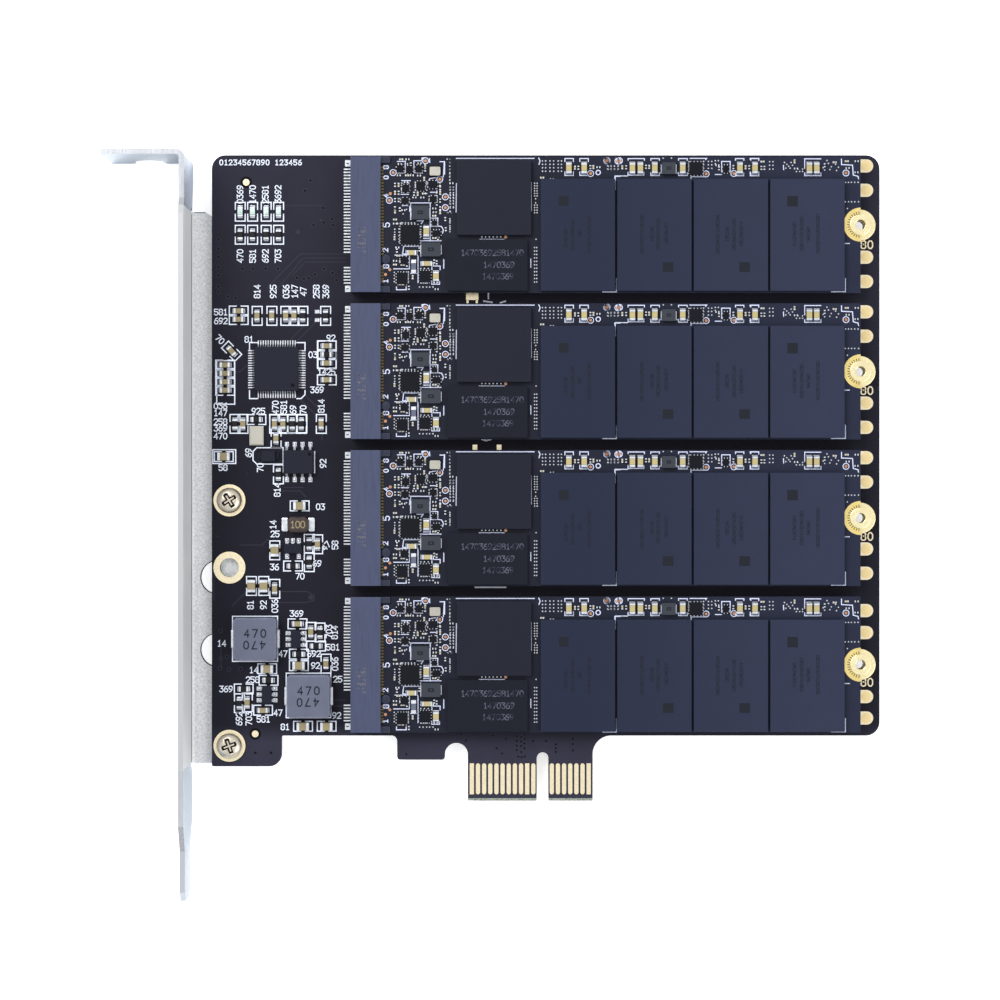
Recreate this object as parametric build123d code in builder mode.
from build123d import *
import os

os.makedirs("parts", exist_ok=True)

# Storage adapter card: an expansion card that carries four solid-state drives side by side.
# Millimetres. The origin is on the edge connector's mating edge, at the centre of its key notch,
# on the component side of the board. +X runs along the card away from the slot bracket, +Y runs
# into the card away from the mating edge, and +Z points out of the component side.

# Circuit board
board_thick = 1.6
board_corner = 2.2
board_edge_gap = 3.37       # from the bracket's inner face to the board's left edge
board_end_margin = 3.4      # past the standoffs' centre line
board_top_margin = 0.53     # past the first drive's side
board_low_margin = 0.68     # past the last drive's side
board_lower_edge = 10.63    # above the mating edge
slot_tab_width = 11.35      # tab under the lower bracket screw
slot_tab_drop = 5.0
slot_tab_corner = 2.0
hook_width = 7.77           # retention hook beside the connector
hook_drop = 3.93
hook_corner = 0.5
hook_fillet = 0.9           # where the hook meets the board's lower edge
slot_tab_fillet = 0.3       # the same beside the slot tab
arch_width = 3.73           # round-topped slot between hook and connector
arch_top = 9.43

# Edge connector
contact_pitch = 1.0
contact_width = 0.7
contact_length = 5.1
contact_start = 1.05        # above the mating edge
contact_end = 0.22          # chamfer at the corners of a strip's ends
contacts_before_key = 11
contacts_after_key = 7
key_step = 1.5              # from the key's centre to the next contact's centre
key_width = 1.9
key_top = 7.9
contact_margin = 0.65       # from the last contact's centre to the connector's side
connector_fillet = 3.0
mating_bevel = 0.45
plating = 0.05
pick = 0.01                 # how near an edge lies to the level it is looked for at

# Slot bracket, folded from one sheet
sheet = 0.86
bend_inside = 0.5
key_to_bracket = 57.15      # from the key notch to the plate's inner face
bracket_top = 104.85
bracket_height = 120.02
bracket_width = 18.42
far_step = 1.46             # the flange's side of the plate reaches this much lower
far_slant_top = 4.0         # below the flange
far_slant_length = 4.7
near_step = 1.5             # the flange's side of the plate is narrower by this much
near_slant_top = 7.8
near_slant_length = 2.6
shoulder_start = 107.75     # below the flange, where the plate narrows to the tongue
shoulder_length = 4.2
shoulder_far = 3.66
tongue_width = 10.19
tongue_chamfer = 1.5
flange_length = 12.5
screw_notch_width = 4.6
screw_notch_depth = 5.0
screw_notch_reach = 6.1     # from the plate's outer face to the notch's centre line
screw_notch_mouth = 0.6
tab_top_gap = 8.98          # from the flange to the side tab's upper end
tab_low_end = 6.04
tab_reach = 9.65            # from the plate's inner face, where it holds the screws
tab_strip = 3.95            # the same, above the screws
tab_strip_corner = 2.4
tab_shoulder_gap = 4.2      # above the upper screw
tab_window_radius = 2.66
tab_window_reach = 4.15
tab_window_rows = (12.53, 24.38)    # below the upper screw
fold_relief = 0.6

# Bracket screws and the plated rings round their holes
screw_inset = 2.86          # from the board's left edge
screw_rows = (38.25, 27.32, -1.65)  # above the board's lower edge, the middle one left open
open_row = 1
screw_hole_radius = 1.55
ring_radius = 2.6
screw_radius = 1.45
screw_head_radius = 2.05
screw_head_height = 1.3
screw_head_rim = 0.5
screw_crown_radius = 1.35
screw_tip = 0.6             # past the bracket's tab
screw_turn = 20
recess_length = 2.3
recess_width = 0.62
recess_depth = 0.85
recess_taper = 6
thread_clearance = 0.03

# Drives and the sockets that hold them
drive_count = 4
drive_length = 80.0
drive_width = 22.0
drive_thick = 0.8
drive_gap = 1.72            # between two drives
drive_level = 2.45          # of the drive's underside above the board
tongue_length = 4.0
drive_tongue_width = 19.85
drive_key_offset = 5.625
drive_key_width = 1.2
drive_key_depth = 3.9
socket_inset = 22.71        # from the board's left edge to the sockets' back wall
socket_back_wall = 2.46
socket_width_margin = 0.1   # how much narrower than the drive a socket is
socket_roof_thick = 0.85
socket_roof_depth = 4.87
socket_jaw_depth = 6.07
socket_arm_height = 3.7
slot_clearance = 0.1
arm_clearance = 0.05
key_rib_clearance = 0.1

# Socket solder tails
tail_pitch = 0.5
tail_width = 0.22
tail_thick = 0.15
tail_length = 1.25
tail_count_before_key = 28
tail_count_at_key = 4
tail_count_after_key = 6
hold_down_size = 1.03
hold_down_offset = 10.2
hold_down_thick = 0.25

# Brass standoffs
standoff_collar_radius = 2.5
standoff_neck_radius = 1.7
standoff_bore_radius = 0.8
standoff_spigot_radius = 1.6
standoff_spigot_length = 1.5
seat_clearance = 0.05
seat_ring_width = 1.0

# Retainer pads beside the standoffs
pad_width = 2.18
pad_length = 3.1
pad_reach = 2.4             # past the standoffs' centre line
pad_corner = 0.6
pad_rows = (9.79, 5.83, -5.05, -9.0)
pad_rows_last = (8.65, 5.07, -5.33, -8.82)

# Packages on each drive
controller_size = 12.0
controller_height = 1.1
controller_place = (20.73, 4.25)
buffer_length = 12.9
buffer_width = 8.3
buffer_height = 1.0
buffer_place = (19.68, -6.6)
flash_length = 12.0
flash_height = 1.2
flash_start = 28.26
flash_gap = 0.35
flash_low_margin = 0.22     # above the drive's lower side
flash_high_margin = 3.68    # below the drive's upper side, where the capacitors are
flash_end_margin = 2.65
drive_cap_length = 1.7
drive_cap_width = 0.95
drive_cap_height = 0.8
drive_cap_inset = 1.9       # below the drive's upper side
drive_cap_columns = (32.82, 35.29, 43.08, 44.37, 46.7, 51.21, 60.46, 62.89, 71.68, 72.86)

# Small parts between a drive's socket and its controller:
# place from the tongue's end and from the centre line, length, width and height
drive_parts = (
    (11.19, 8.6, 2.0, 1.65, 0.6),
    (5.55, 9.0, 1.1, 1.2, 0.6),
    (7.04, 8.9, 1.1, 1.2, 0.6),
    (8.54, 9.0, 1.1, 1.2, 0.6),
    (8.85, 6.24, 1.5, 1.5, 0.7),
    (10.81, 6.48, 1.5, 1.2, 0.6),
    (6.43, 5.85, 1.2, 1.2, 0.6),
    (10.89, 4.12, 1.2, 1.0, 0.6),
    (6.33, 3.82, 1.3, 1.0, 0.6),
    (8.81, 1.9, 2.9, 2.3, 1.0),
    (7.14, -1.65, 3.1, 3.2, 0.8),
    (9.78, -1.1, 1.0, 1.65, 0.7),
    (11.09, 0.24, 0.86, 0.86, 0.5),
    (11.42, -1.45, 1.37, 1.1, 0.5),
    (10.54, -4.07, 3.2, 2.3, 1.0),
    (7.41, -4.56, 1.5, 0.85, 0.6),
    (6.21, -5.83, 1.26, 1.26, 0.5),
    (7.73, -6.79, 0.85, 2.2, 0.6),
    (9.91, -6.32, 1.65, 0.8, 0.6),
    (5.88, -8.69, 1.8, 1.94, 0.7),
    (9.55, -8.4, 1.9, 1.9, 0.7),
    (11.33, -8.38, 1.0, 1.5, 0.6),
)

# Parts in the strip above the memory packages:
# place from the tongue's end and from the drive's upper side, length, width and height
drive_strip_parts = (
    (48.96, 1.95, 2.3, 2.0, 1.0),
    (53.36, 1.95, 2.2, 2.1, 0.7),
    (58.21, 2.0, 1.0, 1.2, 0.5),
)

# Bridge chip: places here and below are from the board's lower left corner
bridge_place = (10.57, 59.58)
bridge_size = 7.2
bridge_height = 1.4
bridge_span = 9.0
bridge_pitch = 0.4
bridge_leads_per_side = 16
bridge_lead_width = 0.18
package_taper = 8
package_lift = 0.1
lead_thick = 0.15
lead_foot = 0.5

# Flash chip with leads on two sides
memory_place = (14.12, 44.49)
memory_length = 4.9
memory_width = 3.9
memory_height = 1.45
memory_span = 6.0
memory_pitch = 1.27
memory_leads_per_side = 4
memory_lead_width = 0.4

# Small leaded regulators: place, turn in degrees, leads on the two long sides
regulator_length = 2.9
regulator_width = 1.6
regulator_height = 1.05
regulator_span = 2.8
regulator_pitch = 0.95
regulator_lead_width = 0.4
regulators_at = (
    ((13.19, 30.41), 0, (-1, 1), (-1, 0, 1)),
    ((13.69, 15.7), 90, (-1, 0, 1), (-1, 0, 1)),
    ((8.98, 6.69), 90, (-1, 0, 1), (-1, 0, 1)),
)

# Inductors
power_inductor_length = 7.0
power_inductor_width = 6.9
power_inductor_height = 3.0
power_inductor_corner = 0.4
power_terminal_width = 3.0
power_terminal_reach = 0.45
power_terminal_height = 1.6
power_inductor_places = ((7.18, 15.77), (15.83, 6.5))
wound_length = 3.3
wound_width = 2.55
wound_height = 2.0
wound_corner = 0.45
wound_edge = 0.2
wound_terminal_reach = 1.05
wound_terminal_width = 2.3
wound_terminal_height = 0.5
wound_place = (14.07, 34.33)

# Crystal and diode
crystal_place = (7.3, 48.75)
crystal_length = 3.1
crystal_width = 2.3
crystal_height = 0.75
crystal_lid_inset = 0.12
crystal_lid_height = 0.2
diode_place = (9.22, 45.42)
diode_length = 2.2
diode_width = 1.7
diode_height = 1.0
diode_terminal_reach = 0.6
diode_terminal_width = 1.0
diode_terminal_height = 0.3

# Two-terminal parts: length, width and height of each size, and their metal ends
small_length = 1.6
small_width = 0.8
small_cap_height = 0.8
resistor_height = 0.5
led_height = 0.7
led_end_height = 0.35
large_length = 2.0
large_width = 1.25
large_cap_height = 1.1
small_terminal = 0.35
large_terminal = 0.45
terminal_proud = 0.02
small_caps_flat = (
    (4.37, 69.04), (4.37, 67.66), (2.16, 60.25), (2.16, 58.88), (2.16, 57.5), (2.16, 56.15),
    (18.7, 63.35), (18.7, 60.56), (18.7, 57.84), (13.93, 18.17), (8.33, 4.13),
)
small_caps_upright = (
    (7.37, 68.26), (9.77, 68.26), (12.03, 68.26), (13.37, 68.26), (5.07, 50.69), (10.21, 50.69),
    (11.58, 50.69), (17.8, 50.69), (10.45, 48.31), (17.21, 31.11), (10.24, 23.87),
    (16.12, 16.87), (18.57, 11.7), (5.77, 5.4),
)
small_cap_turned = (3.22, 62.51)
small_cap_turn = -50
large_caps_flat = (
    (1.95, 45.37), (14.28, 37.35), (14.15, 11.37), (9.01, 10.87), (14.83, 1.52), (18.67, 1.52),
)
large_caps_upright = ((10.24, 30.13), (6.45, 24.33), (8.44, 24.33))
resistors_flat = (
    (18.7, 61.96), (7.25, 51.39), (13.21, 27.58), (16.96, 14.57), (14.15, 13.24), (9.22, 9.0),
    (5.18, 7.58),
)
resistors_upright = (
    (14.8, 68.26), (18.51, 68.26), (3.76, 50.69), (13.09, 50.69), (14.57, 50.69), (10.83, 42.48),
    (15.84, 31.19), (15.84, 28.2), (17.59, 16.77), (4.48, 5.26),
)
led_columns = (4.62, 6.63, 8.84, 10.86)
led_drop = 9.18             # below the board's top edge
led_resistor_drop = 12.92

# Levels and lines that follow from the sizes above
plate_inner = -key_to_bracket
plate_outer = plate_inner - sheet
flange_tip = plate_outer - flange_length
tongue_tip = bracket_top - bracket_height
tab_top = -board_thick
tab_bottom = tab_top - sheet
bracket_far = tab_bottom - far_step
bracket_near = bracket_far + bracket_width
tab_high_end = bracket_top - tab_top_gap

board_left = plate_inner + board_edge_gap
socket_back = board_left + socket_inset
tongue_end = socket_back + socket_back_wall
standoff_x = tongue_end + drive_length
board_right = standoff_x + board_end_margin
drive_pitch = drive_width + drive_gap
last_drive_y = board_lower_edge + board_low_margin + drive_width / 2
drive_rows = [last_drive_y + drive_pitch * (drive_count - 1 - row) for row in range(drive_count)]
board_upper_edge = drive_rows[0] + drive_width / 2 + board_top_margin

connector_left = -(key_step + contact_pitch * (contacts_before_key - 1) + contact_margin)
connector_right = key_step + contact_pitch * (contacts_after_key - 1) + contact_margin
hook_right = connector_left - arch_width
hook_left = hook_right - hook_width
slot_tab_right = board_left + slot_tab_width

screw_x = board_left + screw_inset
screw_centres = [board_lower_edge + row for row in screw_rows]
fitted_screws = [y for row, y in enumerate(screw_centres) if row != open_row]

drive_top = drive_level + drive_thick
slot_bottom = drive_level - slot_clearance
slot_top = drive_top + slot_clearance
socket_height = slot_top + socket_roof_thick


def save(piece, label):
    """Name a finished piece and write it to its own file."""
    piece.part.label = label
    export_step(piece.part, f"parts/{label}.step")


def on_board(place):
    """A place measured from the board's lower left corner, in the part's own frame."""
    return (board_left + place[0], board_lower_edge + place[1])


def at_corner(solid, x, y, z):
    """The upright edge of a solid that stands nearest a point."""
    return solid.edges().filter_by(Axis.Z).sort_by_distance((x, y, z))[0]


# Circuit board
with BuildPart() as circuit_board:
    arch_radius = arch_width / 2
    key_radius = key_width / 2
    with BuildSketch(Plane.XY.offset(-board_thick)):
        with BuildLine():
            FilletPolyline(
                (board_left, board_upper_edge),
                (board_right, board_upper_edge),
                (board_right, board_lower_edge),
                (connector_right, board_lower_edge),
                (connector_right, 0),
                (key_radius, 0),
                (key_radius, key_top - key_radius),
                (-key_radius, key_top - key_radius),
                (-key_radius, 0),
                (connector_left, 0),
                (connector_left, arch_top - arch_radius),
                (hook_right, arch_top - arch_radius),
                (hook_right, board_lower_edge - hook_drop),
                (hook_left, board_lower_edge - hook_drop),
                (hook_left, board_lower_edge),
                (slot_tab_right, board_lower_edge),
                (slot_tab_right, board_lower_edge - slot_tab_drop),
                (board_left, board_lower_edge - slot_tab_drop),
                radius=[
                    board_corner, board_corner, board_corner, connector_fillet, 0, 0, 0, 0, 0, 0,
                    0, 0, hook_corner, hook_corner, hook_fillet, slot_tab_fillet,
                    slot_tab_corner, slot_tab_fillet,
                ],
                close=True,
            )
        make_face()
        with Locations((0, key_top - key_radius)):
            Circle(key_radius, mode=Mode.SUBTRACT)
        with Locations(((connector_left + hook_right) / 2, arch_top - arch_radius)):
            Circle(arch_radius, mode=Mode.SUBTRACT)
        with Locations(*[(screw_x, y) for y in screw_centres]):
            Circle(screw_hole_radius, mode=Mode.SUBTRACT)
        with Locations(*[(standoff_x, y) for y in drive_rows]):
            Circle(standoff_spigot_radius + seat_clearance, mode=Mode.SUBTRACT)
    extrude(amount=board_thick)
    mating_edges = circuit_board.edges().filter_by(Axis.X).filter_by_position(Axis.Y, -pick, pick)
    chamfer(mating_edges, mating_bevel)
save(circuit_board, "circuit_board")


# Edge contacts: on the component side, most strips have eased ends
contact_centres = [-key_step - contact_pitch * step for step in range(contacts_before_key)][::-1]
contact_centres += [key_step + contact_pitch * step for step in range(contacts_after_key)]
every_contact = range(len(contact_centres))
square_contacts = (0, contacts_before_key - 2, len(contact_centres) - 1)
contact_middle = contact_start + contact_length / 2
for side_name, level, square in (
    ("component_side", 0, square_contacts),
    ("solder_side", -board_thick - plating, every_contact),
):
    with BuildPart() as edge_contacts:
        with BuildSketch(Plane.XY.offset(level)):
            for index in every_contact:
                with Locations((contact_centres[index], contact_middle)):
                    strip = Rectangle(contact_width, contact_length)
                if index not in square:
                    chamfer(strip.vertices(), contact_end)
        extrude(amount=plating)
    save(edge_contacts, f"edge_contacts_{side_name}")


# Slot bracket
with BuildPart() as slot_bracket:
    # Flange and plate: one strip folded over, as wide as the whole bracket
    with BuildSketch(Plane.XY.offset(bracket_far)):
        with BuildLine():
            FilletPolyline(
                (flange_tip, bracket_top),
                (plate_inner, bracket_top),
                (plate_inner, tongue_tip),
                (plate_outer, tongue_tip),
                (plate_outer, bracket_top - sheet),
                (flange_tip, bracket_top - sheet),
                radius=[0, bend_inside + sheet, 0, 0, bend_inside, 0],
                close=True,
            )
        make_face()
    extrude(amount=bracket_width)
    # The outline that the card sees: slanted steps, shoulders and a tongue
    far_slant = bracket_top - far_slant_top
    near_slant = bracket_top - near_slant_top
    shoulder = bracket_top - shoulder_start
    tongue_far = tab_bottom + shoulder_far
    tongue_near = tongue_far + tongue_width
    with BuildSketch(Plane.YZ.offset(flange_tip)):
        with BuildLine():
            Polyline(
                (bracket_top, bracket_far),
                (far_slant, bracket_far),
                (far_slant - far_slant_length, tab_bottom),
                (shoulder, tab_bottom),
                (shoulder - shoulder_length, tongue_far),
                (tongue_tip + tongue_chamfer, tongue_far),
                (tongue_tip, tongue_far + tongue_chamfer),
                (tongue_tip, tongue_near - tongue_chamfer),
                (tongue_tip + tongue_chamfer, tongue_near),
                (shoulder - shoulder_length, tongue_near),
                (shoulder, bracket_near),
                (near_slant - near_slant_length, bracket_near),
                (near_slant, bracket_near - near_step),
                (bracket_top, bracket_near - near_step),
                close=True,
            )
        make_face()
    extrude(amount=plate_inner - flange_tip, mode=Mode.INTERSECT)
    # Screw notch, open at the flange's far edge
    notch_x = plate_outer - screw_notch_reach
    notch_radius = screw_notch_width / 2
    notch_round_z = bracket_far + screw_notch_depth - notch_radius
    with BuildSketch(Plane.XZ.offset(-bracket_top)):
        with Locations((notch_x, notch_round_z)):
            Circle(notch_radius)
        with Locations((notch_x, (bracket_far + notch_round_z) / 2)):
            Rectangle(screw_notch_width, notch_round_z - bracket_far)
    extrude(amount=sheet, mode=Mode.SUBTRACT)
    mouth = slot_bracket.edges().filter_by(Axis.Y).filter_by_position(
        Axis.Z, bracket_far - pick, bracket_far + pick)
    fillet(mouth.sort_by_distance((notch_x, bracket_top, bracket_far))[0:2], screw_notch_mouth)
    # Side tab, folded in under the board, with a relief notch at each end of the fold
    fold_top = tab_top + bend_inside + fold_relief
    with BuildSketch(Plane.YZ.offset(plate_outer)):
        with Locations(((tab_low_end + tab_high_end) / 2, (tab_bottom + fold_top) / 2)):
            Rectangle(tab_high_end - tab_low_end + 2 * fold_relief, fold_top - tab_bottom)
    extrude(amount=sheet, mode=Mode.SUBTRACT)
    tab_end = plate_inner + tab_reach
    with BuildSketch(Plane.XZ.offset(-tab_high_end)):
        with BuildLine():
            FilletPolyline(
                (plate_outer, fold_top),
                (plate_outer, tab_bottom),
                (tab_end, tab_bottom),
                (tab_end, tab_top),
                (plate_inner, tab_top),
                (plate_inner, fold_top),
                radius=[0, bend_inside + sheet, 0, 0, bend_inside, 0],
                close=True,
            )
        make_face()
    extrude(amount=tab_high_end - tab_low_end)
    # The tab is narrow above the screws and has two half-round windows beside the board's edge
    strip_end = plate_inner + tab_strip
    tab_shoulder = screw_centres[0] + tab_shoulder_gap
    with BuildSketch(Plane.XY.offset(tab_top)):
        with Locations(((strip_end + tab_end) / 2, (tab_shoulder + tab_high_end) / 2)):
            Rectangle(tab_end - strip_end, tab_high_end - tab_shoulder)
    extrude(amount=-sheet, mode=Mode.SUBTRACT)
    window_x = plate_inner + tab_window_reach
    with BuildSketch(Plane.XY.offset(tab_top)):
        for drop in tab_window_rows:
            window_y = screw_centres[0] - drop
            with Locations((window_x, window_y)):
                Circle(tab_window_radius)
            with Locations((window_x + tab_window_radius / 2, window_y)):
                Rectangle(tab_window_radius, 2 * tab_window_radius, mode=Mode.SUBTRACT)
    extrude(amount=-sheet, mode=Mode.SUBTRACT)
    fillet(at_corner(slot_bracket, strip_end, tab_high_end, tab_top), tab_strip_corner)
    fillet(at_corner(slot_bracket, tab_end, tab_shoulder, tab_top), tab_strip_corner)
    with Locations(*[(screw_x, y, tab_top) for y in fitted_screws]):
        Hole(screw_radius + thread_clearance, depth=sheet)
save(slot_bracket, "slot_bracket")


# Bracket screws: pan heads with a cross recess, through the board into the bracket's tab
with BuildPart() as screw:
    head_foot = plating
    head_rim = head_foot + screw_head_rim
    head_crown = head_foot + screw_head_height
    with BuildSketch(Plane.XZ):
        with BuildLine():
            Polyline(
                (0, head_crown),
                (0, tab_bottom - screw_tip),
                (screw_radius, tab_bottom - screw_tip),
                (screw_radius, head_foot),
                (screw_head_radius, head_foot),
                (screw_head_radius, head_rim),
                (screw_crown_radius, head_crown),
                close=True,
            )
        make_face()
    revolve(axis=Axis.Z)
    with BuildSketch(Plane.XY.offset(head_crown)):
        Rectangle(recess_length, recess_width, rotation=screw_turn)
        Rectangle(recess_width, recess_length, rotation=screw_turn)
    extrude(amount=-recess_depth, taper=recess_taper, mode=Mode.SUBTRACT)
with BuildPart() as bracket_screws:
    with Locations(*[(screw_x, y, 0) for y in fitted_screws]):
        add(screw.part)
save(bracket_screws, "bracket_screws")


# Plated rings round the three bracket holes
with BuildPart() as ground_rings:
    with BuildSketch():
        with Locations(*[(screw_x, y) for y in screw_centres]):
            Circle(ring_radius)
            Circle(screw_hole_radius, mode=Mode.SUBTRACT)
    extrude(amount=plating)
save(ground_rings, "ground_rings")


# Retainer pads: narrow towards their outer ends, straight under the drive's end
with BuildPart() as retainer_pads:
    pad_x = standoff_x + pad_reach - pad_length / 2
    with BuildSketch() as pads:
        for row, drive_y in enumerate(drive_rows):
            offsets = pad_rows_last if row == drive_count - 1 else pad_rows
            with Locations(*[(pad_x, drive_y + offset) for offset in offsets]):
                Rectangle(pad_length, pad_width)
        chamfer(pads.vertices().group_by(Axis.X)[-1], pad_corner)
    extrude(amount=plating)
save(retainer_pads, "retainer_pads")


def build_socket():
    """A drive socket's housing: back wall, jaw, roof, side arms and key rib."""
    arm_inner = drive_tongue_width / 2 + arm_clearance
    half_width = (drive_width - socket_width_margin) / 2
    arm_width = half_width - arm_inner
    arm_front = tongue_end + tongue_length - arm_clearance
    roof_front = socket_back + socket_roof_depth
    jaw_front = socket_back + socket_jaw_depth
    slot_end = tongue_end - slot_clearance
    with BuildPart() as housing:
        with BuildSketch(Plane.XZ):
            with BuildLine():
                Polyline(
                    (socket_back, 0),
                    (jaw_front, 0),
                    (jaw_front, slot_bottom),
                    (slot_end, slot_bottom),
                    (slot_end, slot_top),
                    (roof_front, slot_top),
                    (roof_front, socket_height),
                    (socket_back, socket_height),
                    close=True,
                )
            make_face()
        extrude(amount=half_width, both=True)
        with BuildSketch():
            with Locations(*[
                ((socket_back + arm_front) / 2, side * (arm_inner + arm_width / 2))
                for side in (1, -1)
            ]):
                Rectangle(arm_front - socket_back, arm_width)
        extrude(amount=socket_arm_height)
        rib_width = drive_key_width - 2 * key_rib_clearance
        with BuildSketch(Plane.XY.offset(slot_bottom)):
            with Locations(((slot_end + jaw_front) / 2, -drive_key_offset)):
                Rectangle(jaw_front - slot_end, rib_width)
        extrude(amount=slot_top - slot_bottom)
    return housing


def build_socket_contacts():
    """The solder tails along a socket's back wall, and the hold-down pad at each end."""
    places = tail_count_before_key + tail_count_at_key + tail_count_after_key
    first = tail_pitch * (places - 1) / 2
    at_key = range(tail_count_before_key, tail_count_before_key + tail_count_at_key)
    tail_rows = [first - tail_pitch * place for place in range(places) if place not in at_key]
    with BuildPart() as contacts:
        with BuildSketch():
            with Locations(*[(socket_back - tail_length / 2, y) for y in tail_rows]):
                Rectangle(tail_length, tail_width)
        extrude(amount=tail_thick)
        with BuildSketch():
            with Locations(*[
                (socket_back - hold_down_size / 2, side * hold_down_offset)
                for side in (1, -1)
            ]):
                Rectangle(hold_down_size, hold_down_size)
        extrude(amount=hold_down_thick)
    return contacts


def build_standoff():
    """A brass standoff: spigot in the board, collar under the drive, neck in its half-round seat."""
    with BuildPart() as standoff:
        with BuildSketch(Plane.XZ):
            with BuildLine():
                Polyline(
                    (standoff_x + standoff_bore_radius, -standoff_spigot_length),
                    (standoff_x + standoff_spigot_radius, -standoff_spigot_length),
                    (standoff_x + standoff_spigot_radius, 0),
                    (standoff_x + standoff_collar_radius, 0),
                    (standoff_x + standoff_collar_radius, drive_level),
                    (standoff_x + standoff_neck_radius, drive_level),
                    (standoff_x + standoff_neck_radius, drive_top),
                    (standoff_x + standoff_bore_radius, drive_top),
                    close=True,
                )
            make_face()
        revolve(axis=Axis((standoff_x, 0, 0), (0, 0, 1)))
    return standoff


def build_drive_board():
    """A drive's board: narrow tongue with a key notch, and a half-round screw seat at the far end."""
    half_width = drive_width / 2
    half_tongue = drive_tongue_width / 2
    shoulder_x = tongue_end + tongue_length
    notch_radius = drive_key_width / 2
    with BuildPart() as drive_board:
        with BuildSketch(Plane.XY.offset(drive_level)):
            with BuildLine():
                Polyline(
                    (tongue_end, half_tongue),
                    (shoulder_x, half_tongue),
                    (shoulder_x, half_width),
                    (standoff_x, half_width),
                    (standoff_x, -half_width),
                    (shoulder_x, -half_width),
                    (shoulder_x, -half_tongue),
                    (tongue_end, -half_tongue),
                    close=True,
                )
            make_face()
            with Locations((tongue_end + drive_key_depth - notch_radius, -drive_key_offset)):
                Circle(notch_radius, mode=Mode.SUBTRACT)
            straight = drive_key_depth - notch_radius
            with Locations((tongue_end + straight / 2, -drive_key_offset)):
                Rectangle(straight, drive_key_width, mode=Mode.SUBTRACT)
            with Locations((standoff_x, 0)):
                Circle(standoff_neck_radius + seat_clearance, mode=Mode.SUBTRACT)
        extrude(amount=drive_thick)
    return drive_board


def build_drive_plating():
    """The gold half ring round a drive's screw seat."""
    seat_radius = standoff_neck_radius + seat_clearance
    ring = seat_radius + seat_ring_width
    with BuildPart() as seat_ring:
        with BuildSketch(Plane.XY.offset(drive_top)):
            with Locations((standoff_x, 0)):
                Circle(ring)
                Circle(seat_radius, mode=Mode.SUBTRACT)
            with Locations((standoff_x + ring / 2, 0)):
                Rectangle(ring, 2 * ring, mode=Mode.SUBTRACT)
        extrude(amount=plating)
    return seat_ring


def build_package(length, width, height, places):
    """Flat rectangular packages on top of a drive, placed from its tongue's end and centre line."""
    with BuildPart() as packages:
        with BuildSketch(Plane.XY.offset(drive_top)):
            with Locations(*[(tongue_end + along, across) for along, across in places]):
                Rectangle(length, width)
        extrude(amount=height)
    return packages


def build_flash():
    """As many memory packages as the drive's length has room for, in a row."""
    flash_pitch = flash_length + flash_gap
    flash_room = drive_length - flash_start - flash_end_margin
    flash_count = int((flash_room + flash_gap) / flash_pitch)
    flash_width = drive_width - flash_low_margin - flash_high_margin
    across = (flash_low_margin - flash_high_margin) / 2
    first = flash_start + flash_length / 2
    places = [(first + flash_pitch * column, across) for column in range(flash_count)]
    return build_package(flash_length, flash_width, flash_height, places)


def build_passives():
    """The small parts on a drive, and the capacitors along its upper side."""
    cap_across = drive_width / 2 - drive_cap_inset
    strip = [
        (along, drive_width / 2 - inset, length, width, height)
        for along, inset, length, width, height in drive_strip_parts
    ]
    with BuildPart() as passives:
        for along, across, length, width, height in [*drive_parts, *strip]:
            with BuildSketch(Plane.XY.offset(drive_top)):
                with Locations((tongue_end + along, across)):
                    Rectangle(length, width)
            extrude(amount=height)
        with BuildSketch(Plane.XY.offset(drive_top)):
            with Locations(*[(tongue_end + along, cap_across) for along in drive_cap_columns]):
                Rectangle(drive_cap_width, drive_cap_length)
        extrude(amount=drive_cap_height)
    return passives


# Each piece of a drive's row is built on the line Y = 0 and then placed in every row
row_pieces = {
    "m2_socket": build_socket(),
    "socket_contacts": build_socket_contacts(),
    "standoff": build_standoff(),
    "ssd_board": build_drive_board(),
    "ssd_plating": build_drive_plating(),
    "ssd_controller": build_package(
        controller_size, controller_size, controller_height, [controller_place]),
    "ssd_memory_buffer": build_package(
        buffer_length, buffer_width, buffer_height, [buffer_place]),
    "ssd_flash": build_flash(),
    "ssd_passives": build_passives(),
}
for piece_name, piece in row_pieces.items():
    for number, row_y in enumerate(drive_rows, start=1):
        with BuildPart() as placed:
            with Locations((0, row_y, 0)):
                add(piece.part)
        save(placed, f"{piece_name}_{number}")


def moulded_body(length, width, height, places):
    """Flat moulded packages whose sides draw in above and below the parting line."""
    parting = package_lift + height / 2
    with BuildPart() as bodies:
        for draft in (1, -1):
            with BuildSketch(Plane.XY.offset(parting)):
                for centre, turn in places:
                    with Locations(Location((*centre, 0), (0, 0, turn))):
                        Rectangle(length, width)
            extrude(amount=draft * height / 2, taper=package_taper)
    return bodies


def gull_lead(half_body, half_span, height, width):
    """One bent lead at +X: a slope down from the parting line, and a foot on the board."""
    parting = package_lift + height / 2
    heel = half_span - lead_foot
    with BuildPart() as lead:
        with BuildSketch(Plane.XZ):
            with BuildLine():
                Polyline(
                    (half_body, parting - lead_thick / 2),
                    (heel - lead_thick / 2, 0),
                    (half_span, 0),
                    (half_span, lead_thick),
                    (heel + lead_thick / 2, lead_thick),
                    (half_body, parting + lead_thick / 2),
                    close=True,
                )
            make_face()
        extrude(amount=width / 2, both=True)
    return lead


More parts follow.
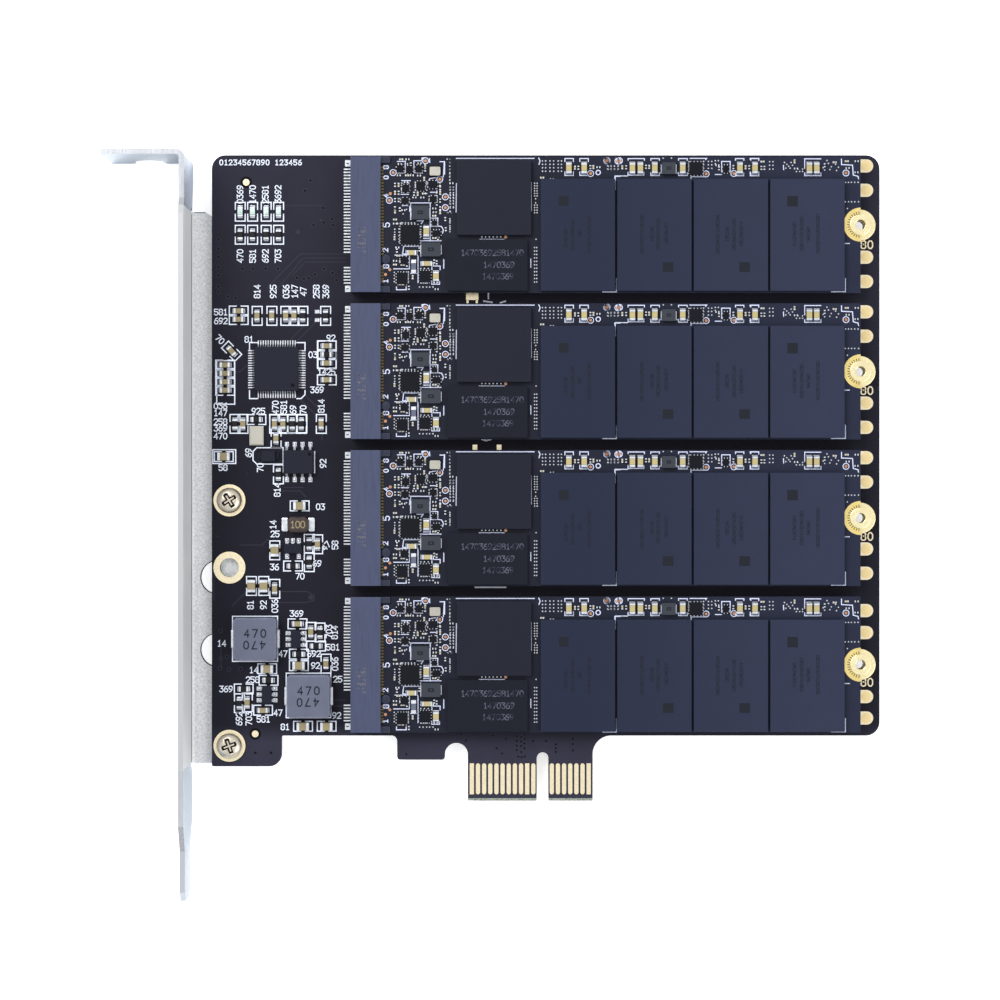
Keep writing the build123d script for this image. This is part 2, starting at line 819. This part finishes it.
# Bridge chip and its leads on four sides
bridge_centre = on_board(bridge_place)
save(moulded_body(bridge_size, bridge_size, bridge_height, [(bridge_centre, 0)]), "bridge_chip")
bridge_lead = gull_lead(bridge_size / 2, bridge_span / 2, bridge_height, bridge_lead_width)
bridge_lead_rows = [
    bridge_pitch * (lead - (bridge_leads_per_side - 1) / 2) for lead in range(bridge_leads_per_side)
]
with BuildPart() as bridge_chip_leads:
    for turn in (0, 90, 180, 270):
        with Locations(Location((*bridge_centre, 0), (0, 0, turn))):
            with Locations(*[(0, row, 0) for row in bridge_lead_rows]):
                add(bridge_lead.part)
save(bridge_chip_leads, "bridge_chip_leads")


# Flash chip, with leads at its two long sides
memory_centre = on_board(memory_place)
save(moulded_body(memory_length, memory_width, memory_height, [(memory_centre, 0)]), "flash_chip")
memory_lead = gull_lead(memory_width / 2, memory_span / 2, memory_height, memory_lead_width)
memory_lead_rows = [
    memory_pitch * (lead - (memory_leads_per_side - 1) / 2) for lead in range(memory_leads_per_side)
]
with BuildPart() as flash_chip_leads:
    for turn in (90, 270):
        with Locations(Location((*memory_centre, 0), (0, 0, turn))):
            with Locations(*[(0, row, 0) for row in memory_lead_rows]):
                add(memory_lead.part)
save(flash_chip_leads, "flash_chip_leads")


# Regulators: three small packages with two or three leads on each long side
regulator_bodies = [(on_board(place), turn) for place, turn, low_side, high_side in regulators_at]
save(
    moulded_body(regulator_length, regulator_width, regulator_height, regulator_bodies),
    "regulators",
)
regulator_lead = gull_lead(
    regulator_width / 2, regulator_span / 2, regulator_height, regulator_lead_width)
with BuildPart() as regulator_leads:
    for place, turn, low_side, high_side in regulators_at:
        centre = on_board(place)
        for side_turn, columns in ((90, high_side), (270, low_side)):
            with Locations(Location((*centre, 0), (0, 0, turn + side_turn))):
                with Locations(*[(0, regulator_pitch * column, 0) for column in columns]):
                    add(regulator_lead.part)
save(regulator_leads, "regulator_leads")


# Power inductors: pressed blocks with eased corners
power_centres = [on_board(place) for place in power_inductor_places]
with BuildPart() as power_inductors:
    with BuildSketch():
        with Locations(*power_centres):
            Rectangle(power_inductor_length, power_inductor_width)
    extrude(amount=power_inductor_height)
    chamfer(power_inductors.edges().filter_by(Axis.Z), power_inductor_corner)
    chamfer(power_inductors.faces().group_by(Axis.Z)[-1].edges(), power_inductor_corner / 2)
save(power_inductors, "power_inductors")


# Wound inductor: a low block with cut corners
wound_centre = on_board(wound_place)
with BuildPart() as wound_inductor:
    with BuildSketch():
        with Locations(wound_centre):
            Rectangle(wound_length, wound_width)
    extrude(amount=wound_height)
    chamfer(wound_inductor.edges().filter_by(Axis.Z), wound_corner)
    chamfer(wound_inductor.faces().sort_by(Axis.Z)[-1].edges(), wound_edge)
save(wound_inductor, "wound_inductor")


# Inductor terminals: folded strips that show at both ends
with BuildPart() as inductor_terminals:
    with BuildSketch():
        terminal_x = (power_inductor_length + power_terminal_reach) / 2
        for centre_x, centre_y in power_centres:
            with Locations((centre_x - terminal_x, centre_y), (centre_x + terminal_x, centre_y)):
                Rectangle(power_terminal_reach, power_terminal_width)
    extrude(amount=power_terminal_height)
    with BuildSketch():
        terminal_x = (wound_length + wound_terminal_reach) / 2
        with Locations((wound_centre[0] - terminal_x, wound_centre[1]),
                       (wound_centre[0] + terminal_x, wound_centre[1])):
            Rectangle(wound_terminal_reach, wound_terminal_width)
    extrude(amount=wound_terminal_height)
save(inductor_terminals, "inductor_terminals")


# Crystal: a metal lid on a ceramic base
with BuildPart() as crystal:
    with BuildSketch():
        with Locations(on_board(crystal_place)):
            Rectangle(crystal_width, crystal_length)
    extrude(amount=crystal_height - crystal_lid_height)
    with BuildSketch(Plane.XY.offset(crystal_height - crystal_lid_height)):
        with Locations(on_board(crystal_place)):
            Rectangle(crystal_width - 2 * crystal_lid_inset, crystal_length - 2 * crystal_lid_inset)
    extrude(amount=crystal_lid_height)
save(crystal, "crystal")


# Diode: a moulded block with a flat terminal at each end
diode_x, diode_y = on_board(diode_place)
with BuildPart() as diode:
    with BuildSketch():
        with Locations((diode_x, diode_y)):
            Rectangle(diode_length, diode_width)
    extrude(amount=diode_height)
    with BuildSketch():
        with Locations((diode_x, diode_y)):
            Rectangle(diode_length + 2 * diode_terminal_reach, diode_terminal_width)
    extrude(amount=diode_terminal_height)
save(diode, "diode")


def chip_bodies(*groups):
    """The blocks of two-terminal parts, between their metal ends."""
    with BuildPart() as blocks:
        for length, width, height, terminal, places in groups:
            with BuildSketch():
                for centre, turn in places:
                    with Locations(Location((*centre, 0), (0, 0, turn))):
                        Rectangle(length - 2 * terminal, width)
            extrude(amount=height)
    return blocks


def chip_ends(*groups):
    """The metal ends of two-terminal parts, slightly proud of their blocks."""
    with BuildPart() as ends:
        for length, width, height, terminal, places in groups:
            with BuildSketch():
                for centre, turn in places:
                    with Locations(Location((*centre, 0), (0, 0, turn))):
                        with Locations(((terminal - length) / 2, 0), ((length - terminal) / 2, 0)):
                            Rectangle(terminal, width + 2 * terminal_proud)
            extrude(amount=height + terminal_proud)
    return ends


def turned(places, turn):
    """Places from the board's corner, each with the turn of its long side."""
    return [(on_board(place), turn) for place in places]


small_caps = turned(small_caps_flat, 0) + turned(small_caps_upright, 90)
small_caps += turned([small_cap_turned], small_cap_turn)
large_caps = turned(large_caps_flat, 0) + turned(large_caps_upright, 90)
led_rows = [((board_left + x, board_upper_edge - led_drop), 90) for x in led_columns]
led_resistors = [((board_left + x, board_upper_edge - led_resistor_drop), 90) for x in led_columns]
resistor_rows = turned(resistors_flat, 0) + turned(resistors_upright, 90) + led_resistors

small_cap_group = (small_length, small_width, small_cap_height, small_terminal, small_caps)
large_cap_group = (large_length, large_width, large_cap_height, large_terminal, large_caps)
resistor_group = (small_length, small_width, resistor_height, small_terminal, resistor_rows)
led_group = (small_length, small_width, led_height, small_terminal, led_rows)
led_end_group = (small_length, small_width, led_end_height, small_terminal, led_rows)
save(chip_bodies(small_cap_group, large_cap_group), "capacitors")
save(chip_bodies(resistor_group), "resistors")
save(chip_bodies(led_group), "indicator_leds")
save(
    chip_ends(small_cap_group, large_cap_group, resistor_group, led_end_group),
    "chip_terminals",
)
